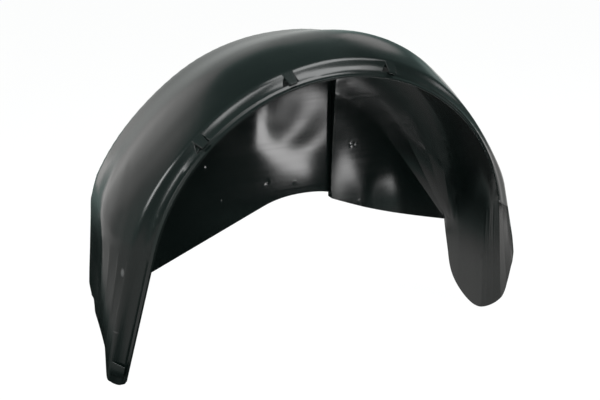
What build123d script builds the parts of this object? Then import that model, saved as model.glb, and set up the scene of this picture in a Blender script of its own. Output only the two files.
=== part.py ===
from build123d import *
import math
import os

# All lengths are in mm and all angles in degrees.
# X runs along the car, Y runs from the outboard rim inwards and Z is up.
# The origin is the centre of the wheel opening, in the plane of the rim.

wall_t = 2.5

# Lip profile from the free rim inwards: two steps in depth and radius,
# then a hollow arc for the hook band and a round arc for the ridge, between three slopes.
rim_radius = 327.0
rim_band = (4.5, 2.5)
small_step = (1.5, 3.5)
hook_band_radius = 36.0
ridge_radius = 18.0
band_slope = 36.0
step_slope = 61.0
side_slope = 27.0
band_slices = 3
ridge_slices = 4

# Side wall and barrel at some depths: how far out from the ridge.
# The rear leg has a fold between the two depths of fold_depths.
ridge_depth = 23.9
profile_rise = (
    (ridge_depth, 0.0),
    (48.0, 11.7),
    (76.0, 22.3),
    (96.0, 26.5),
    (106.0, 27.7),
    (116.0, 28.0),
    (140.0, 26.8),
    (190.0, 22.5),
)
side_depths = (40.0, 58.0, 76.0, 92.0)
fold_depths = (106.0, 116.0)
barrel_depths = (140.0, 190.0)
barrel_taper = -0.08

# Form of the arch at some depths:
# depth, bulge, drop of its centre and the angle where the rear leg goes straight.
arch_form = (
    (0.0, 0.0, 0.0, 16.0),
    (6.0, 0.5, 0.0, 15.0),
    (20.0, 2.5, 0.0, 13.4),
    (48.0, 5.5, 0.0, 10.5),
    (76.0, 7.0, -1.0, 8.0),
    (96.0, 7.0, -2.0, 3.3),
    (106.0, 6.5, -2.5, 2.2),
    (116.0, 6.0, -3.0, 1.5),
    (140.0, 4.5, -5.0, 1.5),
    (190.0, 3.6, -9.0, 1.5),
)

# Where the arch swells or sinks: share of the bulge, angle and spread.
# The rear ones fade out over the depth of the side wall.
rear_swell = (1.5, 12.5, 9.5)
rear_hollow = (-1.1, 33.5, 12.0)
haunch_swell = (0.57, 63.5, 9.0)
crown_flat = (-1.2, 95.0, 13.0)
front_swell = (1.65, 156.0, 17.5)

# The front leg has a knuckle, which starts at the ridge and is full at the side wall's end.
knuckle_angle = 20.0
knuckle_lean = 0.112
knuckle_depths = (20.0, 96.0)

# Inner wall: two panels at different depths, with a step between them.
depth_left = 256.0
depth_right = 240.0
left_corner = (40.0, 26.0)
right_corner = (120.0, 0.0)
right_leg_top = -62.0
right_leg_depth = 246.0
panel_step_x = 106.0
panel_step_lean = 1.4
left_slices = 6
right_slices = 5
corner_turn = 82.0

# The blank reaches past every trimmed edge.
blank_floor = -240.0
hollow_overrun = 20.0
mouth_overrun = 8.0
block_top = 500.0
block_side = 900.0
trim_margin = 24.0
trim_floor = -320.0
trim_reach = 100.0
rear_trim_inset = 47.0
front_trim_inset = 27.0

# Trim of the inner wall, in X and Z.
wall_left_overhang = 18.0
wall_right_overhang = 43.0
wall_trim_side = rim_radius + wall_left_overhang
wall_trim_y = 228.0
wall_left_slope = 0.412
wall_left_rise_end = (-30.0, 28.5)
wall_peak = (60.0, 42.0)
wall_step_z = (35.5, 26.5)
wall_right_mids = ((166.0, 2.5), (225.0, -18.5))
wall_right_end = (rim_radius + wall_right_overhang, right_leg_top)

# Trim of the rear leg, in Y and Z: the lip is cut off above it, and its tip is rounded.
rear_lip_cut = ((-20.0, 80.0), (0.0, 72.0), (22.0, 45.0), (23.0, -15.0), (29.0, -55.0))
rear_tip = ((45.0, -95.0), (73.0, -173.0), (127.0, -219.0), (193.0, -193.0), (223.0, -132.0))
rear_inner_edge = ((234.0, -90.0), (depth_right, right_leg_top))

# Trim of the front leg, in Y and Z: only its outboard edge runs down, to a narrow tip.
front_lip_cut = ((-20.0, -100.0), (1.0, -115.0))
front_tip_arc = ((1.0, -115.0), (9.0, -122.0), (16.0, -118.5))
front_tip = ((16.0, -118.5), (34.0, -92.0), (45.0, -69.0), (65.0, -50.0))
front_inner_edge = ((175.0, -55.0), (depth_left, -100.0))

# Hooks moulded on the lip: three on the arch and one low on the front leg.
hook_angles = (132.5, 104.5, 75.0)
hook_low_z = -93.0
hook_w = (18.0, 12.0)
hook_low_w = (20.0, 17.0)
hook_lift = 6.5
hook_low_slant = 7.0
window_front = (10.5, 17.0)
window_rear = (9.5, 10.5)
window_margin = 1.5
window_reach = 6.0

arch_points = 15


def blend(y, rows):
    # Values between the rows of a list that starts with depths.
    for p, q in zip(rows, rows[1:]):
        if y <= q[0] or q is rows[-1]:
            k = min(max((y - p[0]) / (q[0] - p[0]), 0.0), 1.0)
            return tuple(a + (b - a) * k for a, b in zip(p[1:], q[1:]))


def station(y, r):
    # One slice across the liner: depth, radius, bulge, drop, leg angle and share of the knuckle.
    share = (y - knuckle_depths[0]) / (knuckle_depths[1] - knuckle_depths[0])
    return (y, r) + blend(y, arch_form) + (min(max(share, 0.0), 1.0),)


def step_to(start, move):
    return (start[0] + move[0], start[1] + move[1])


def arc_to(start, radius, slope, end_slope, count):
    # Points of the profile along an arc, from a start point on.
    side = 1 if end_slope > slope else -1
    a = math.radians(slope)
    points = []
    for i in range(1, count + 1):
        b = a + math.radians(end_slope - slope) * i / count
        move = (math.sin(b) - math.sin(a), math.cos(a) - math.cos(b))
        points.append(step_to(start, (side * radius * move[0], side * radius * move[1])))
    return points


rim_point = (0.0, rim_radius)
rim_end = step_to(rim_point, rim_band)
step_end = step_to(rim_end, small_step)
band_points = arc_to(step_end, hook_band_radius, band_slope, step_slope, band_slices)
ridge_points = arc_to(band_points[-1], ridge_radius, step_slope, side_slope, ridge_slices)
ridge_r = ridge_points[-1][1]

profile = [rim_point, rim_end, step_end] + band_points + ridge_points
for depth in side_depths + fold_depths + barrel_depths:
    profile.append((depth, ridge_r + blend(depth, profile_rise)[0]))
slices = [station(y, r) for y, r in profile]


def swell(form, deg):
    size, at, spread = form
    return size * math.exp(-(((deg - at) / spread) ** 2))


def arch_point(s, deg):
    # The bulge flattens the arch between its crown and its legs.
    r, bulge, drop = s[1:4]
    a = math.radians(deg)
    rear = swell(rear_swell, deg) + swell(rear_hollow, deg)
    others = swell(haunch_swell, deg) + swell(crown_flat, deg) + swell(front_swell, deg)
    rr = r + bulge * (math.cos(4 * a) + others + rear * (1 - s[5] ** 2))
    return (rr * math.cos(a), rr * math.sin(a) + drop)


def arch_slope(s, deg):
    # How the arch point moves for each radian.
    x0, z0 = arch_point(s, deg - 0.1)
    x1, z1 = arch_point(s, deg + 0.1)
    turn = math.radians(0.2)
    return ((x1 - x0) / turn, (z1 - z0) / turn)


def leg_x(s, z):
    # How far out the straight rear leg of a slice is at a given height.
    start_x, start_z = arch_point(s, s[4])
    sx, sz = arch_slope(s, s[4])
    return start_x + (z - start_z) * sx / sz


def front_angle(s):
    return 180.0 - s[4] - (knuckle_angle - s[4]) * s[5]


def front_x(s, z):
    # The same for the front leg, which leans as the plain bulged arch does where it has no knuckle.
    r, bulge = s[1:3]
    a = math.radians(s[4])
    rr = r + bulge * math.cos(4 * a)
    dr = -4 * bulge * math.sin(4 * a)
    lean = (rr * math.sin(a) - dr * math.cos(a)) / (dr * math.sin(a) + rr * math.cos(a))
    start_x, start_z = arch_point(s, front_angle(s))
    return start_x + (z - start_z) * (lean * (1 - s[5]) + knuckle_lean * s[5])


def arch_slice(s, floor):
    # An arch that runs on into two straight legs, closed along the floor.
    turn = (front_angle(s) - s[4]) / (arch_points - 1)
    angles = [s[4] + turn * i for i in range(arch_points)]
    pts = [arch_point(s, a) for a in angles]
    sweep = math.radians(angles[-1] - angles[0])
    ends = [Vector(*arch_slope(s, a)) * sweep for a in (angles[0], angles[-1])]
    shares = [i / (arch_points - 1) for i in range(arch_points)]
    rear_foot = (leg_x(s, floor), floor)
    front_foot = (front_x(s, floor), floor)
    with BuildSketch(Plane.XZ.offset(-s[0])) as one_slice:
        with BuildLine():
            Line(rear_foot, pts[0])
            add(Edge.make_spline(pts, tangents=ends, parameters=shares, scale=False))
            Line(pts[-1], front_foot)
            Line(front_foot, rear_foot)
        make_face()
    return one_slice.sketch


def inset(stations, t):
    # The same run of slices moved inwards by the wall thickness, square to the profile.
    moved = []
    for i, s in enumerate(stations):
        normals = []
        for p, q in zip(stations[max(i - 1, 0) : i + 1], stations[max(i, 1) : i + 2]):
            size = math.hypot(q[0] - p[0], q[1] - p[1])
            normals.append(((q[1] - p[1]) / size, (p[0] - q[0]) / size))
        ny = sum(n[0] for n in normals)
        nr = sum(n[1] for n in normals)
        k = t / (ny * normals[0][0] + nr * normals[0][1])
        moved.append((s[0] + ny * k, s[1] + nr * k) + s[2:])
    return moved


def angle_to_foot(s, foot_x, foot_z):
    # The leg angle with which the straight leg of a slice passes through the foot point.
    low, high = s[4], 60.0
    for _ in range(40):
        middle = (low + high) / 2
        if leg_x(s[:4] + (middle,) + s[5:], foot_z) < foot_x:
            low = middle
        else:
            high = middle
    return low


def corner_run(start, depth, corner, count, t):
    # Slices that carry the barrel round into a wall panel.
    # The corner has a radius and a straight lead before it.
    end = math.radians(corner_turn)
    rise = (depth - t - start[0] - corner[1]) / math.sin(end)
    centre_y = start[0] + corner[1]
    centre_r = start[1] + corner[1] * barrel_taper - corner[0]
    run = [start] if corner[1] > 0 else []
    for i in range(count + 1):
        a = end * i / count
        y = centre_y + rise * math.sin(a)
        run.append((y, centre_r + corner[0] * math.cos(a), start[2] * math.cos(a)) + start[3:])
    return run


def rear_corner(start, t):
    # The rear corner runs out to nothing at the top of the leg, on the barrel's own leg.
    run = []
    for s in corner_run(start, depth_right, right_corner, right_slices, t):
        foot_x = leg_x(start, right_leg_top) + (s[0] - start[0]) * barrel_taper
        run.append(s[:4] + (angle_to_foot(s, foot_x, right_leg_top),) + s[5:])
    return run


def run_block(stations, floor):
    # A solid block through a run of slices.
    with BuildPart() as block:
        for s in stations:
            add(arch_slice(s, floor))
        loft(ruled=True)
    return block.part


def side_block(stations, floor, side, offset):
    # A run of slices, kept on one side of the panel step.
    lean = math.tan(math.radians(panel_step_lean))
    low = (panel_step_x + offset + floor * lean, floor)
    high = (panel_step_x + offset + block_top * lean, block_top)
    with BuildPart() as block:
        add(run_block(stations, floor))
        with BuildSketch(Plane.XZ):
            Polygon(low, (side * block_side, floor), (side * block_side, block_top), high, align=None)
        extrude(amount=block_top, both=True, mode=Mode.INTERSECT)
    return block.part


def rear_leg(last, floor, t):
    # The rear leg carries on from the barrel's last slice, below the corner.
    end = right_leg_depth + 8.0 * t
    with BuildPart() as block:
        for z in (right_leg_top, floor):
            x = leg_x(last, z)
            end_x = x + (end - last[0]) * barrel_taper
            with BuildSketch(Plane.XY.offset(z)):
                Polygon((0.0, last[0]), (x, last[0]), (end_x, end), (0.0, end), align=None)
        loft(ruled=True)
    return block.part


def filled(run, floor, t):
    # The whole liner as a solid block, before it is hollowed.
    last = run[-1]
    left = corner_run(last, depth_left, left_corner, left_slices, t)
    right = rear_corner(last, t)
    with BuildPart() as block:
        add(run_block(run, floor))
        add(side_block(left, floor, -1, -t))
        add(side_block(right, right_leg_top, 1, -t))
        add(rear_leg(last, floor, t))
    return block.part


inner = inset(slices, wall_t)
mouth_r = inner[0][1] - mouth_overrun * rim_band[1] / rim_band[0]
mouth = (inner[0][0] - mouth_overrun, mouth_r) + inner[0][2:]

# The lines of the lip that a hook is built on: three at the rim, the band's end and the ridge.
hook_lines = slices[:3] + [slices[2 + band_slices], slices[4 + band_slices]]


def lip_point(index, angle, low_z):
    # A point of one lip line, at an angle on the arch or at a height on the front leg.
    s = hook_lines[index]
    if low_z is None:
        x, z = arch_point(s, angle)
        return Vector(x, s[0], z)
    return Vector(front_x(s, low_z), s[0], low_z)


def hook_frame(angle, low_z):
    # The five lip points at a hook, and the direction along the lip there.
    points = [lip_point(i, angle, low_z) for i in range(len(hook_lines))]
    if low_z is None:
        return points, Vector(-math.sin(math.radians(angle)), 0, math.cos(math.radians(angle)))
    return points, (lip_point(4, angle, low_z - hook_low_w[0] / 2) - points[4]).normalized()


def plate(start, end, along, rear_w, front_w):
    # A tapered outline on the plane through two points and the direction along the lip.
    down = (end - start).normalized()
    run = (end - start).length
    corners = ((-rear_w[0], 0), (front_w[0], 0), (front_w[1], run), (-rear_w[1], run))
    with BuildSketch(Plane(start, x_dir=along, z_dir=along.cross(down))) as outline:
        Polygon(*corners, align=None)
    return outline.sketch


def hook_window(angle):
    # The cut-out through the hook band, wider on the front side of the hook.
    points, along = hook_frame(angle, None)
    margin = (points[2] - points[3]).normalized() * window_margin
    with BuildPart() as window:
        add(plate(points[3] + margin, points[2] - margin, along, window_rear, window_front))
        extrude(amount=window_reach, both=True)
    return window.part


def hook_tongue(angle, low_z, widths, slant):
    # The tongue that reaches from the ridge over the hook band.
    points, along = hook_frame(angle, low_z)
    out = Vector(0, 1, 0).cross(along)
    tip = points[0] * 0.4 + points[1] * 0.6 + out * hook_lift - along * slant
    half = (widths[0] / 2, widths[1] / 2)
    with BuildPart() as tongue:
        add(plate(points[4], tip, along, half, half))
        extrude(amount=-wall_t)
    return tongue.part


with BuildPart() as wall_trim:
    with BuildSketch(Plane.XZ.offset(-wall_trim_y)):
        left_x, left_z = wall_left_rise_end
        corner_z = left_z - (left_x + wall_trim_side) * wall_left_slope
        with BuildLine():
            Line((-wall_trim_side, corner_z), wall_left_rise_end)
            Spline(
                wall_left_rise_end,
                wall_peak,
                (panel_step_x, wall_step_z[0]),
                tangents=[(1.0, wall_left_slope), (1.0, -0.28)],
            )
            Line((panel_step_x, wall_step_z[0]), (panel_step_x, wall_step_z[1]))
            Spline((panel_step_x, wall_step_z[1]), *wall_right_mids, wall_right_end)
            Polyline(
                wall_right_end,
                (wall_right_end[0], trim_floor),
                (-wall_trim_side, trim_floor),
                (-wall_trim_side, corner_z),
            )
        make_face()
    extrude(amount=-trim_reach)

with BuildPart() as rear_leg_trim:
    back_y = right_leg_depth + trim_margin
    with BuildSketch(Plane.YZ.offset(rim_radius - rear_trim_inset)):
        with BuildLine():
            Polyline(*rear_lip_cut, rear_tip[0])
            Spline(*rear_tip, tangents=[(18.0, -50.0), (8.0, 42.0)])
            Polyline(rear_tip[-1], *rear_inner_edge, (back_y, right_leg_top))
            Polyline(
                (back_y, right_leg_top),
                (back_y, trim_floor),
                (rear_lip_cut[0][0], trim_floor),
                rear_lip_cut[0],
            )
        make_face()
    extrude(amount=rim_radius)

with BuildPart() as front_leg_trim:
    back_y = depth_left + trim_margin
    with BuildSketch(Plane.YZ.offset(front_trim_inset - rim_radius)):
        with BuildLine():
            Line(*front_lip_cut)
            ThreePointArc(*front_tip_arc)
            Spline(*front_tip)
            Polyline(front_tip[-1], *front_inner_edge, (back_y, front_inner_edge[-1][1]))
            Polyline(
                (back_y, front_inner_edge[-1][1]),
                (back_y, trim_floor),
                (front_lip_cut[0][0], trim_floor),
                front_lip_cut[0],
            )
        make_face()
    extrude(amount=-rim_radius)

with BuildPart() as arch_liner:
    add(filled(slices, blank_floor, 0.0))
    add(filled([mouth] + inner, blank_floor - hollow_overrun, wall_t), mode=Mode.SUBTRACT)
    add(wall_trim.part, mode=Mode.SUBTRACT)
    add(rear_leg_trim.part, mode=Mode.SUBTRACT)
    add(front_leg_trim.part, mode=Mode.SUBTRACT)
    for hook_angle in hook_angles:
        add(hook_window(hook_angle), mode=Mode.SUBTRACT)
        add(hook_tongue(hook_angle, None, hook_w, 0.0))
    add(hook_tongue(180.0, hook_low_z, hook_low_w, hook_low_slant))

os.makedirs("parts", exist_ok=True)
arch_liner.part.label = "arch_liner"
export_step(arch_liner.part, "parts/arch_liner.step")
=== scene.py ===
import math

import bmesh
import bpy
import numpy as np
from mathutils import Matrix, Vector


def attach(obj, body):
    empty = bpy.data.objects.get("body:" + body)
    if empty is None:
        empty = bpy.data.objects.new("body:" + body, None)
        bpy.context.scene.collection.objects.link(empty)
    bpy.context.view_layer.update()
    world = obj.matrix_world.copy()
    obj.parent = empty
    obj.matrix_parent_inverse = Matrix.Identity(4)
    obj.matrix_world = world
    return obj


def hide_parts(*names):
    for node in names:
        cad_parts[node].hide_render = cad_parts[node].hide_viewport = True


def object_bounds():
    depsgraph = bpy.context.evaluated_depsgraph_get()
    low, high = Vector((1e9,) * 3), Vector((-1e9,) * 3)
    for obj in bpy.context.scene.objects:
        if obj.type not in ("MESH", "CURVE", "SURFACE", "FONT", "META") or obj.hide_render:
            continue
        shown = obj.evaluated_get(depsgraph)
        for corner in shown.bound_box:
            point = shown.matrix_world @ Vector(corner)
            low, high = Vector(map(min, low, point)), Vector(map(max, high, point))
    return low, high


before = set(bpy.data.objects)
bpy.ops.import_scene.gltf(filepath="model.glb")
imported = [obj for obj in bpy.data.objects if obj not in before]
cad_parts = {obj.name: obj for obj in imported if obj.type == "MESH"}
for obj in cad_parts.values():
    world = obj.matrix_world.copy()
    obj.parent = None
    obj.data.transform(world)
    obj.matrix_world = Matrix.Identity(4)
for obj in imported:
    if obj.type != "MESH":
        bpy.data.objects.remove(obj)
cad_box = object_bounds()

scene = bpy.context.scene
scene.view_settings.view_transform = "Standard"

# All lengths are in metres, in the part's own frame: X to the rear leg, Y inboard, Z up.

# Dents and pimples on the inner wall: X, Z, radius and rise towards the wheel.
PIMPLES = [
    (0.148, 0.133, 0.0045, 0.0004),
    (0.157, 0.130, 0.0035, 0.0004),
    (0.144, 0.127, 0.0040, -0.0003),
    (0.033, 0.065, 0.0050, 0.0008),
    (-0.022, 0.075, 0.0055, -0.0005),
    (-0.030, 0.069, 0.0040, 0.0004),
    (0.166, 0.012, 0.0045, 0.0005),
    (-0.147, 0.121, 0.0070, 0.0005),
    (-0.117, 0.052, 0.0045, 0.0004),
    (-0.228, -0.024, 0.0050, 0.0004),
]

# Slow waves of the thin inner wall, for each panel: X, Z, width, height and rise.
# Left panel: a swell under the lip, a dent beside the step, a small dent in the middle,
# a low swell by the bottom edge and a long level dent.
LEFT_WAVES = [
    (-0.04, 0.23, 0.03, 0.08, 0.0020),
    (0.06, 0.20, 0.05, 0.05, -0.0020),
    (0.03, 0.16, 0.04, 0.03, -0.0010),
    (0.07, 0.02, 0.08, 0.10, 0.0015),
    (-0.08, 0.09, 0.09, 0.05, -0.0015),
]
# Right panel: a tall dent beside the step, a broad swell, a narrow ridge on it
# and a swell along the bottom edge.
RIGHT_WAVES = [
    (0.10, 0.08, 0.05, 0.08, -0.0035),
    (0.22, 0.04, 0.08, 0.09, 0.0030),
    (0.18, 0.01, 0.02, 0.05, 0.0010),
    (0.17, -0.05, 0.09, 0.05, 0.0040),
]

# The inner wall, by Y: where its waves begin and how soon they are full, the step from the
# right panel to the left one, and the place past which a level face belongs to a panel.
WALL_START = 0.222
WALL_FADE = 0.012
PANEL_STEP = (0.2405, 0.2530)
PANEL_START = 0.23
LEVEL_NORMAL = 0.99999

# Where the four hooks sit on the lip, and how far round them edges stay crisp.
HOOKS = [
    (-0.230, 0.012, 0.251),
    (-0.085, 0.012, 0.329),
    (0.088, 0.012, 0.328),
    (-0.371, 0.012, -0.093),
]
HOOK_REACH = 0.024

# The front leg, its strip of finer mesh along the lip and the cut edge below its side.
FRONT_LEG_X = -0.2
FRONT_LEG_TOP = 0.15
LIP_STRIP_Y = (0.004, 0.06)
LIP_STRIP_FOOT = -0.08
BORDER_X = -0.33
BORDER_Y = (0.045, 0.245)
BORDER_TOP = 0.0

# The long hollow in the side of the front leg, and the corner that is tucked in below it.
HOLLOW_DEPTH = 0.012
HOLLOW_FRONT = (0.096, 0.126)
HOLLOW_BACK = 0.224
HOLLOW_RUN = 0.098
HOLLOW_TOP = (0.025, 0.088)
HOLLOW_FOOT = (-0.052, 0.012)
TUCK_DEPTH = 0.005
TUCK_ACROSS = (0.13, 0.19)
TUCK_BELOW = (0.040, 0.072)
FRONT_SIDE = (0.25, 0.32)

# Zones that may be smoothed: behind the lip, and the front leg's face. The rear leg's fold stays.
BODY_START = (0.036, 0.052)
FOLD_OUT = (0.25, 0.31)
FOLD_NEAR = (0.082, 0.096)
FOLD_FAR = (0.122, 0.136)
LEG_OUT = (0.2, 0.25)
LEG_TOP = (0.075, 0.125)
LEG_FOOT = (-0.074, -0.058)
LEG_RIM = (0.0050, 0.0065)

# Zones where only steep edges count as sharp: the front leg's lip, and all that lies further in.
LOOSE_LIP_TOP = 0.12
LOOSE_LIP_Y = 0.03
LOOSE_BODY_Y = 0.05

# Longest edges of the finer mesh, in its zones.
PANEL_CELL = 0.009
BODY_EDGE = 0.016
BODY_EDGE_Y = 0.034
LEG_LIP_EDGE = 0.0075
PIMPLE_EDGES = (0.007, 0.0035, 0.0016)
PIMPLE_MARGIN = 1.5

# Edges that turn more than these angles are sharp, and an edge with one face always is.
SHARP_TURN = math.radians(26.0)
LOOSE_SHARP_TURN = math.radians(65.0)
BORDER_SHARP_TURN = math.radians(55.0)
HOOK_SHARP_TURN = math.radians(11.5)
ONE_FACE_TURN = 3.0

# How the mesh is cleaned and smoothed.
MERGE_DISTANCE = 1e-6
FLAT_AREA = 2e-9
FLAT_ROUNDS = 6
SMOOTH_PULLS = (0.5, -0.51)
SMOOTH_ROUNDS = 45
BORDER_PULL = 0.5
BORDER_ROUNDS = 60

# The plastic: its tones, how rough it is outside and on the inner wall, its shine in recesses,
# lowered there as painted shade, and in the open, and its soft edges.
DARK_TONE = (0.0026, 0.0046, 0.0042)
PALE_TONE = (0.0050, 0.0076, 0.0070)
OUTER_ROUGHNESS = (0.17, 0.22)
WALL_ROUGHNESS = (0.09, 0.14)
WALL_EDGE = (0.225, 0.236)
STREAK_SCALE = (6.0, 6.0, 320.0)
# Painted shade: the reach of the occlusion, and the shine it leaves in recesses and in the open.
PAINTED_SHADE_REACH = 0.007
PAINTED_SHADE_SHINE = (0.08, 0.5)
EDGE_RADIUS = 0.0009

# Scuffs on the front leg: place, half size and how pale the plastic is rubbed there.
SCUFFS = [
    ((-0.3567, 0.0284, 0.0565), (0.0046, 0.0046, 0.0090), 0.08),
    ((-0.3765, 0.0218, -0.0374), (0.0080, 0.0080, 0.0018), 0.03),
]

# The stage. Each spot of the room: its turn and rise, the angles where it is full and gone, and
# its level.
FLOOR_SIZE = 14.0
FLOOR_GAP = 0.0015
WHITE_SHARE = 0.88
DIM_LIGHT = (0.70, 1.0, 0.94)
BRIGHT_LIGHT = (1.0, 0.985, 0.97)
SPOTS = [
    (-42.0, 16.0, 8.0, 38.0, 1.1),
    (45.0, 29.0, 3.0, 13.0, 1.0),
    (53.0, 4.0, 2.0, 9.0, 0.35),
]
CARD_HEIGHT = -0.19
LIGHT_TARGET = Vector((0.0, 0.05, 0.25))
CAMERA_PLACE = Vector((-0.6074, -1.1257, 0.6199))
CAMERA_TARGET = Vector((-0.0435, 0.067, 0.1082))
CAMERA_LENS = 51.0
CAMERA_SENSOR = 36.0


# Shader helpers

def node(tree, kind, **inputs):
    """Adds a shader node and sets the sockets that are named."""
    n = tree.nodes.new(kind)
    for key, value in inputs.items():
        n.inputs[key.replace("_", " ")].default_value = value
    return n


def ramp(tree, stops):
    """Adds a colour ramp with coloured stops."""
    n = tree.nodes.new("ShaderNodeValToRGB")
    elements = n.color_ramp.elements
    while len(elements) < len(stops):
        elements.new(0.5)
    for element, (place, colour) in zip(elements, stops):
        element.position = place
        element.color = (*colour, 1)
    return n


def math_node(tree, operation, a, b):
    """Adds a sum or product of two values. Each is a socket or a number."""
    n = tree.nodes.new("ShaderNodeMath")
    n.operation = operation
    for socket, value in zip(n.inputs, (a, b)):
        if isinstance(value, (int, float)):
            socket.default_value = value
        else:
            tree.links.new(value, socket)
    return n.outputs[0]


def vector_node(tree, operation, a, b=None):
    """Adds a difference, share or dot product of a socket and a fixed vector, or a length."""
    n = tree.nodes.new("ShaderNodeVectorMath")
    n.operation = operation
    tree.links.new(a, n.inputs[0])
    if b is not None:
        n.inputs[1].default_value = b
    return n


def scaled(tree, value, span, levels, kind="LINEAR"):
    """Maps a value from one range to another."""
    n = node(
        tree, "ShaderNodeMapRange",
        From_Min=span[0], From_Max=span[1], To_Min=levels[0], To_Max=levels[1],
    )
    n.interpolation_type = kind
    tree.links.new(value, n.inputs["Value"])
    return n.outputs["Result"]


def fade(tree, value, span, levels):
    """Maps a value softly from one range to another."""
    return scaled(tree, value, span, levels, "SMOOTHSTEP")


def mixed_colour(tree, factor, a, b):
    """Mixes two colours. Each is a socket or a fixed colour."""
    mix = tree.nodes.new("ShaderNodeMix")
    mix.data_type = "RGBA"
    tree.links.new(factor, mix.inputs["Factor"])
    for name, colour in (("A", a), ("B", b)):
        if isinstance(colour, tuple):
            mix.inputs[name].default_value = (*colour, 1)
        else:
            tree.links.new(colour, mix.inputs[name])
    return mix.outputs["Result"]


def mixed_shader(tree, factor, a, b):
    """Mixes two shaders."""
    mix = tree.nodes.new("ShaderNodeMixShader")
    for socket, source in zip(mix.inputs, (factor, a, b)):
        tree.links.new(source, socket)
    return mix.outputs[0]


def tinted(tree, level, span):
    """The colour of light by its level: cool green grey where dim, neutral where bright."""
    return mixed_colour(tree, fade(tree, level, span, (0.0, 1.0)), DIM_LIGHT, BRIGHT_LIGHT)


# The liner

def step(value, start, end):
    """A soft step from 0 to 1."""
    k = np.clip((value - start) / (end - start), 0.0, 1.0)
    return k * k * (3.0 - 2.0 * k)


def middle(edge):
    """The point halfway along an edge."""
    return (edge.verts[0].co + edge.verts[1].co) / 2


def turn_flat_faces(bm):
    """Turns the long edge of triangles that have no area, which the grid leaves on slanted sides."""
    for _ in range(FLAT_ROUNDS):
        flat = [f for f in bm.faces if f.calc_area() < FLAT_AREA]
        for f in flat:
            if f.is_valid:
                edge = max(f.edges, key=lambda e: e.calc_length())
                if len(edge.link_faces) == 2:
                    bmesh.utils.edge_rotate(edge)


def on_panel(face):
    """Says whether a face is part of the inner wall's flat panels."""
    return abs(face.normal.y) > LEVEL_NORMAL and face.calc_center_median().y > PANEL_START


def grid_panels(bm):
    """Cuts the flat panels of the inner wall into an even grid of triangles."""
    flat = [f for f in bm.faces if on_panel(f)]
    tagged = list(bmesh.ops.dissolve_faces(bm, faces=flat)["region"])
    for axis in (Vector((1, 0, 0)), Vector((0, 0, 1))):
        places = [v.co.dot(axis) for f in tagged for v in f.verts]
        at = math.ceil(min(places) / PANEL_CELL) * PANEL_CELL
        while at < max(places):
            geom = set(tagged)
            for f in tagged:
                geom.update(f.edges)
                geom.update(f.verts)
            cut = bmesh.ops.bisect_plane(
                bm, geom=list(geom), dist=MERGE_DISTANCE, plane_co=axis * at, plane_no=axis
            )
            tagged = [f for f in cut["geom"] if isinstance(f, bmesh.types.BMFace)]
            at += PANEL_CELL
    bmesh.ops.triangulate(bm, faces=bm.faces)
    turn_flat_faces(bm)


def split_edges(bm, limit, wanted):
    """Halves the edges that are longer than a limit and lie where they are wanted, longest first."""
    while True:
        long_edges = []
        for e in bm.edges:
            size = e.calc_length()
            if size > limit and wanted(middle(e)):
                long_edges.append((size, e))
        if not long_edges:
            return
        long_edges.sort(key=lambda pair: -pair[0])
        used = set()
        chosen = []
        for _, e in long_edges:
            if not any(f in used for f in e.link_faces):
                used.update(e.link_faces)
                chosen.append(e)
        for e in chosen:
            sides = [(f, next(v for v in f.verts if v not in e.verts)) for f in e.link_faces]
            halfway = bmesh.utils.edge_split(e, e.verts[0], 0.5)[1]
            for f, v in sides:
                bmesh.utils.face_split(f, halfway, v)


def on_front_leg(p):
    """Says whether a point is on the front leg."""
    return p.x < FRONT_LEG_X and p.z < FRONT_LEG_TOP


def on_body(p):
    """Says whether a point is behind the lip or on the front leg."""
    return p.y > BODY_EDGE_Y or on_front_leg(p)


def on_lip_strip(p):
    """Says whether a point is on the front leg's strip along the lip."""
    return on_front_leg(p) and LIP_STRIP_Y[0] < p.y < LIP_STRIP_Y[1] and p.z > LIP_STRIP_FOOT


def near_pimple(p, reach):
    """Says whether a point is on the inner wall and within reach of a pimple."""
    if p.y <= PANEL_START:
        return False
    return any(math.hypot(p.x - x, p.z - z) < radius + reach for x, z, radius, _ in PIMPLES)


def refine(bm):
    """Makes the mesh fine enough for the soft forms and small marks."""
    grid_panels(bm)
    split_edges(bm, BODY_EDGE, on_body)
    split_edges(bm, LEG_LIP_EDGE, on_lip_strip)
    for limit in PIMPLE_EDGES:
        reach = PIMPLE_MARGIN * limit
        split_edges(bm, limit, lambda p: near_pimple(p, reach))


def smooth_weights(co):
    """How freely each point may be smoothed."""
    x, y, z = co.T
    body = step(y, *BODY_START)
    fold = step(x, *FOLD_OUT) * step(y, *FOLD_NEAR) * (1.0 - step(y, *FOLD_FAR))
    leg = step(-x, *LEG_OUT) * (1.0 - step(z, *LEG_TOP)) * step(z, *LEG_FOOT)
    leg *= step(y, *LEG_RIM)
    return np.maximum(body * (1.0 - fold), leg)


def neighbour_sum(ends, co):
    """The sum of the places of each point's neighbours along the given edges."""
    total = np.zeros_like(co)
    for k in range(3):
        total[:, k] += np.bincount(ends[:, 0], co[ends[:, 1], k], len(co))
        total[:, k] += np.bincount(ends[:, 1], co[ends[:, 0], k], len(co))
    return total


def smooth(bm):
    """Evens out the strips of the moulding, apart from its sharp edges. Each pull inwards is
    followed by one outwards, so that the form keeps its size."""
    bm.verts.index_update()
    co = np.array([v.co for v in bm.verts])
    ends = np.array([(e.verts[0].index, e.verts[1].index) for e in bm.edges])
    weight = smooth_weights(co)
    x, y, z = co.T
    loose_lip = (x < FRONT_LEG_X) & (z < LOOSE_LIP_TOP) & (y < LOOSE_LIP_Y)
    loose = loose_lip | (y > LOOSE_BODY_Y)
    for e in bm.edges:
        turn = e.calc_face_angle(ONE_FACE_TURN)
        for v in e.verts:
            if turn > (LOOSE_SHARP_TURN if loose[v.index] else SHARP_TURN):
                weight[v.index] = 0.0
    count = np.bincount(ends.ravel(), minlength=len(co))[:, None]
    for pull in SMOOTH_PULLS * SMOOTH_ROUNDS:
        co += (neighbour_sum(ends, co) / count - co) * pull * weight[:, None]
    return co


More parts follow.
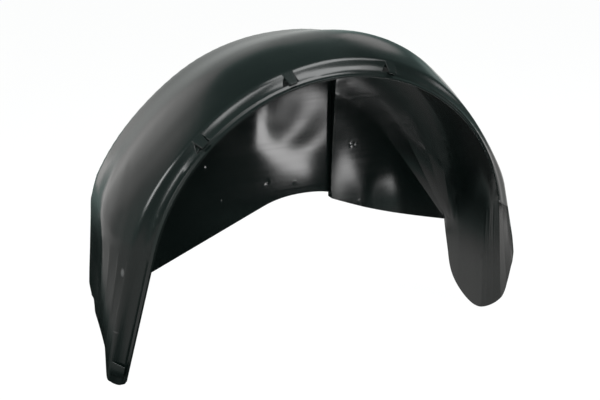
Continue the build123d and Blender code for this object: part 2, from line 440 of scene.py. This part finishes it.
def even_border(bm, co):
    """Evens out the cut edge below the side of the front leg."""
    x, y, z = co.T
    inside = (x < BORDER_X) & (y > BORDER_Y[0]) & (y < BORDER_Y[1]) & (z < BORDER_TOP)
    ends = []
    for e in bm.edges:
        a, b = e.verts[0].index, e.verts[1].index
        if (inside[a] or inside[b]) and e.calc_face_angle(ONE_FACE_TURN) > BORDER_SHARP_TURN:
            ends.append((a, b))
    ends = np.array(ends)
    count = np.bincount(ends.ravel(), minlength=len(co))
    free = inside & (count == 2)
    for _ in range(BORDER_ROUNDS):
        between = neighbour_sum(ends, co)[free] / 2.0
        co[free] += (between - co[free]) * BORDER_PULL


def hollow(co):
    """The long hollow in the side of the front leg, and the tucked corner below it."""
    x, y, z = co.T
    across = step(y, *HOLLOW_FRONT) * np.clip((HOLLOW_BACK - y) / HOLLOW_RUN, 0.0, 1.0)
    along = (1.0 - step(z, *HOLLOW_TOP)) * step(z, *HOLLOW_FOOT)
    tuck = TUCK_DEPTH * step(y, *TUCK_ACROSS) * step(-z, *TUCK_BELOW)
    return (HOLLOW_DEPTH * across * along + tuck) * step(-x, *FRONT_SIDE)


def wall_shape(co):
    """Slow waves, dents and pimples of the inner wall."""
    x, y, z = co.T
    rise = np.zeros(len(co))
    on_left = step(y, *PANEL_STEP)
    for waves, share in ((LEFT_WAVES, on_left), (RIGHT_WAVES, 1.0 - on_left)):
        for at_x, at_z, wide, high, size in waves:
            rise += share * size * np.exp(-(((x - at_x) / wide) ** 2) - ((z - at_z) / high) ** 2)
    for at_x, at_z, radius, height in PIMPLES:
        rise += height * np.clip(1.0 - np.hypot(x - at_x, z - at_z) ** 2 / radius**2, 0.0, 1.0) ** 2
    return rise * np.clip((y - WALL_START) / WALL_FADE, 0.0, 1.0)


def shade_smooth(bm):
    """Shades the faces smoothly and keeps the sharp edges crisp."""
    for f in bm.faces:
        f.smooth = True
        f.normal_update()
    for e in bm.edges:
        mid = middle(e)
        hooked = any((mid - Vector(h)).length < HOOK_REACH for h in HOOKS)
        e.smooth = e.calc_face_angle(ONE_FACE_TURN) < (HOOK_SHARP_TURN if hooked else SHARP_TURN)


def make_liner(source):
    """A finer copy of the moulding, with the soft forms and small marks of its thin wall."""
    mesh = source.data.copy()
    mesh.name = "liner_skin"
    bm = bmesh.new()
    bm.from_mesh(mesh)
    bmesh.ops.remove_doubles(bm, verts=bm.verts, dist=MERGE_DISTANCE)
    refine(bm)
    co = smooth(bm)
    even_border(bm, co)
    shift = hollow(co)
    rise = wall_shape(co)
    co[:, 0] += shift
    co[:, 1] -= rise
    for v, place in zip(bm.verts, co):
        v.co = place
    shade_smooth(bm)
    bm.to_mesh(mesh)
    bm.free()
    skin = bpy.data.objects.new("liner_skin", mesh)
    skin.matrix_world = source.matrix_world.copy()
    scene.collection.objects.link(skin)
    return skin


def make_plastic():
    """Black moulded plastic: glossy with level streaks on the inner wall, duller outside."""
    mat = bpy.data.materials.new("black_moulded_plastic")
    mat.use_nodes = True
    tree = mat.node_tree
    link = tree.links.new
    shader = tree.nodes["Principled BSDF"]
    shader.inputs["IOR"].default_value = 1.5
    place_on_part = tree.nodes.new("ShaderNodeTexCoord").outputs["Object"]

    # Slow changes of tone over the moulding, and the scuffs.
    cloud = node(tree, "ShaderNodeTexNoise", Scale=9.0, Detail=4.0, Roughness=0.55)
    link(place_on_part, cloud.inputs["Vector"])
    tone = ramp(tree, [(0.3, DARK_TONE), (0.75, PALE_TONE)])
    link(cloud.outputs["Fac"], tone.inputs["Fac"])
    colour = tone.outputs["Color"]
    for place, half, pale in SCUFFS:
        offset = vector_node(tree, "SUBTRACT", place_on_part, place)
        share = vector_node(tree, "DIVIDE", offset.outputs["Vector"], half)
        away = vector_node(tree, "LENGTH", share.outputs["Vector"])
        rubbed = fade(tree, away.outputs["Value"], (0.3, 1.0), (1.0, 0.0))
        colour = mixed_colour(tree, rubbed, colour, (pale, pale, pale))
    link(colour, shader.inputs["Base Color"])

    # The inner wall has fine level streaks, and the outside is a little duller.
    split = tree.nodes.new("ShaderNodeSeparateXYZ")
    link(place_on_part, split.inputs[0])
    streak_map = tree.nodes.new("ShaderNodeMapping")
    streak_map.inputs["Scale"].default_value = STREAK_SCALE
    link(place_on_part, streak_map.inputs["Vector"])
    streaks = node(tree, "ShaderNodeTexNoise", Scale=1.0, Detail=5.0, Roughness=0.6)
    link(streak_map.outputs["Vector"], streaks.inputs["Vector"])
    gloss = tree.nodes.new("ShaderNodeMix")
    link(scaled(tree, split.outputs["Y"], WALL_EDGE, (0.0, 1.0)), gloss.inputs["Factor"])
    link(scaled(tree, cloud.outputs["Fac"], (0.3, 0.7), OUTER_ROUGHNESS), gloss.inputs["A"])
    link(scaled(tree, streaks.outputs["Fac"], (0.3, 0.7), WALL_ROUGHNESS), gloss.inputs["B"])
    link(gloss.outputs["Result"], shader.inputs["Roughness"])

    # Painted shade: ambient occlusion lowers the shine in the recesses under the hooks and along the
    # lip.
    painted_shade_ao = node(tree, "ShaderNodeAmbientOcclusion", Distance=PAINTED_SHADE_REACH)
    painted_shade_ao.samples = 8
    shine_after_painted_shade = fade(tree, painted_shade_ao.outputs["AO"], (0.35, 0.9), PAINTED_SHADE_SHINE)
    link(shine_after_painted_shade, shader.inputs["Specular IOR Level"])

    # Soft edges, slow waves and the fine grain of the tool.
    edge = node(tree, "ShaderNodeBevel", Radius=EDGE_RADIUS)
    edge.samples = 6
    wave = node(tree, "ShaderNodeTexNoise", Scale=6.0, Detail=1.0, Roughness=0.4)
    link(place_on_part, wave.inputs["Vector"])
    wave_bump = node(tree, "ShaderNodeBump", Strength=0.25, Distance=0.0016)
    link(wave.outputs["Fac"], wave_bump.inputs["Height"])
    link(edge.outputs["Normal"], wave_bump.inputs["Normal"])
    grain = node(tree, "ShaderNodeTexNoise", Scale=900.0, Detail=2.0, Roughness=0.5)
    link(place_on_part, grain.inputs["Vector"])
    grain_bump = node(tree, "ShaderNodeBump", Strength=0.035, Distance=0.0003)
    link(grain.outputs["Fac"], grain_bump.inputs["Height"])
    link(wave_bump.outputs["Normal"], grain_bump.inputs["Normal"])
    link(grain_bump.outputs["Normal"], shader.inputs["Normal"])
    return mat


liner = make_liner(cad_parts["arch_liner"])
liner.data.materials.clear()
liner.data.materials.append(make_plastic())
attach(liner, "root")
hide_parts("arch_liner")


# The stage

def painted_reflection_level(tree):
    """Painted reflection: how brightly the floor glows for glossy rays only, bright far to the left
    and round the rear leg, a little at the back, and dark near the part, a painted shadow, and in
    front."""
    coords = tree.nodes.new("ShaderNodeTexCoord")
    split = tree.nodes.new("ShaderNodeSeparateXYZ")
    tree.links.new(coords.outputs["Object"], split.inputs[0])
    x = split.outputs["X"]
    y = split.outputs["Y"]
    far_left = fade(tree, x, (-1.1, -0.7), (1.0, 0.0))
    left = math_node(tree, "MULTIPLY", far_left, fade(tree, y, (0.35, 0.8), (0.55, 1.1)))
    near_right = fade(tree, x, (0.02, 0.25), (0.0, 0.78))
    right = math_node(tree, "MULTIPLY", near_right, fade(tree, y, (-0.5, 0.15), (0.0, 1.0)))
    back = fade(tree, y, (0.8, 1.5), (0.02, 0.24))
    return math_node(tree, "ADD", math_node(tree, "ADD", left, right), back)


def make_floor():
    """A white floor that takes the shadow, and glows for glossy rays with painted reflection
    patches.
    """
    low = cad_box[0].z - FLOOR_GAP
    bpy.ops.mesh.primitive_plane_add(size=FLOOR_SIZE, location=(0.0, 0.0, low))
    floor = bpy.context.object
    floor.name = "floor"
    mat = bpy.data.materials.new("pale_floor")
    mat.use_nodes = True
    tree = mat.node_tree
    link = tree.links.new
    tree.nodes.remove(tree.nodes["Principled BSDF"])
    path = tree.nodes.new("ShaderNodeLightPath")

    # What the camera sees: mostly plain white, with a share that takes the shadow.
    matt = node(tree, "ShaderNodeBsdfDiffuse", Color=(0.9, 0.9, 0.9, 1))
    white = node(tree, "ShaderNodeEmission", Color=(1, 1, 1, 1), Strength=1.06)
    white_share = math_node(tree, "MULTIPLY", path.outputs["Is Camera Ray"], WHITE_SHARE)
    seen = mixed_shader(tree, white_share, matt.outputs[0], white.outputs[0])

    # Painted reflection: the glossy plastic mirrors a glow laid on the floor in patches, not lit
    # floor.
    level = painted_reflection_level(tree)
    painted_reflection_glow = tree.nodes.new("ShaderNodeEmission")
    link(tinted(tree, level, (0.22, 0.5)), painted_reflection_glow.inputs["Color"])
    link(level, painted_reflection_glow.inputs["Strength"])

    surface = mixed_shader(tree, path.outputs["Is Glossy Ray"], seen, painted_reflection_glow.outputs[0])
    link(surface, tree.nodes["Material Output"].inputs["Surface"])
    floor.data.materials.append(mat)


def heading(turn, rise):
    """A direction from its angle to the right of straight back and its angle above the floor."""
    a = math.radians(turn)
    e = math.radians(rise)
    return Vector((math.sin(a) * math.cos(e), math.cos(a) * math.cos(e), math.sin(e)))


def soft_spot(tree, direction, turn, rise, inner, outer, level):
    """A round soft light in the room, full inside one angle and gone at the other."""
    dot = vector_node(tree, "DOT_PRODUCT", direction, heading(turn, rise))
    near = math.cos(math.radians(inner))
    far = math.cos(math.radians(outer))
    return fade(tree, dot.outputs["Value"], (far, near), (0.0, level))


def room_level(tree):
    """How bright the room is: a pale band low behind the part that fades to the right, a window
    at the back left and two soft lights at the back right."""
    direction = tree.nodes.new("ShaderNodeTexCoord").outputs["Generated"]
    split = tree.nodes.new("ShaderNodeSeparateXYZ")
    tree.links.new(direction, split.inputs[0])
    base = fade(tree, split.outputs["Y"], (-0.75, -0.3), (0.2, 0.40))
    low = fade(tree, split.outputs["Z"], (0.60, 0.80), (0.27, -0.16))
    back = fade(tree, split.outputs["Y"], (-0.25, 0.2), (0.0, 1.0))
    to_right = fade(tree, split.outputs["X"], (0.38, 0.64), (1.0, 0.3))
    level = math_node(tree, "ADD", base, math_node(tree, "MULTIPLY", low, back))
    level = math_node(tree, "MULTIPLY", level, to_right)
    for spot in SPOTS:
        level = math_node(tree, "ADD", level, soft_spot(tree, direction, *spot))
    return level


def make_world():
    """The room that lights the part. The camera sees plain white."""
    world = bpy.data.worlds.new("studio")
    scene.world = world
    world.use_nodes = True
    tree = world.node_tree
    link = tree.links.new
    tree.nodes.clear()
    out = tree.nodes.new("ShaderNodeOutputWorld")
    level = room_level(tree)
    room = tree.nodes.new("ShaderNodeBackground")
    link(tinted(tree, level, (0.3, 0.8)), room.inputs["Color"])
    link(level, room.inputs["Strength"])
    white = node(tree, "ShaderNodeBackground", Color=(1, 1, 1, 1), Strength=1.0)
    path = tree.nodes.new("ShaderNodeLightPath")
    seen = mixed_shader(tree, path.outputs["Is Camera Ray"], room.outputs[0], white.outputs[0])
    link(seen, out.inputs["Surface"])


def make_light(name, size, bright):
    """A flat lamp with an even brightness over its face."""
    data = bpy.data.lights.new(name, "AREA")
    data.shape = "RECTANGLE"
    data.size, data.size_y = size
    data.energy = bright * math.pi * size[0] * size[1]
    lamp = bpy.data.objects.new(name, data)
    scene.collection.objects.link(lamp)
    return lamp


def soft_box(name, turn, rise, away, size, bright):
    """A soft box that faces the part, from its turn and rise in degrees and its distance."""
    lamp = make_light(name, size, bright)
    lamp.location = LIGHT_TARGET + heading(turn, rise) * away
    lamp.rotation_euler = (LIGHT_TARGET - lamp.location).to_track_quat("-Z", "Y").to_euler()


def floor_card(name, place, turn, size, bright):
    """A bright card that lies low in front and shines up, for the inner wall to mirror."""
    lamp = make_light(name, size, bright)
    lamp.location = (*place, CARD_HEIGHT)
    lamp.rotation_euler = (math.pi, 0.0, math.radians(turn))


def make_camera():
    """The camera of the photo."""
    data = bpy.data.cameras.new("camera")
    data.sensor_width = CAMERA_SENSOR
    data.lens = CAMERA_LENS
    camera = bpy.data.objects.new("camera", data)
    camera.location = CAMERA_PLACE
    camera.rotation_euler = (CAMERA_TARGET - CAMERA_PLACE).to_track_quat("-Z", "Y").to_euler()
    scene.collection.objects.link(camera)
    scene.camera = camera


make_floor()
make_world()
soft_box("box_in_front", 180.0, 38.0, 2.6, (2.66, 1.0), 6.5)
soft_box("box_above", 145.0, 66.0, 2.2, (1.5, 0.8), 6.0)
soft_box("box_left", -110.0, 20.0, 2.0, (0.45, 0.7), 9.0)
soft_box("box_haunch", 114.0, 50.0, 2.2, (0.42, 0.42), 4.0)
soft_box("box_right", 102.0, 14.0, 2.0, (0.4, 0.4), 3.0)
floor_card("card_main", (0.44, -0.73), 24.0, (0.14, 0.46), 9.5)
floor_card("card_far", (0.62, -0.95), 24.0, (0.09, 0.24), 7.5)
floor_card("card_near", (0.61, -0.31), 0.0, (0.10, 0.12), 4.0)
make_camera()
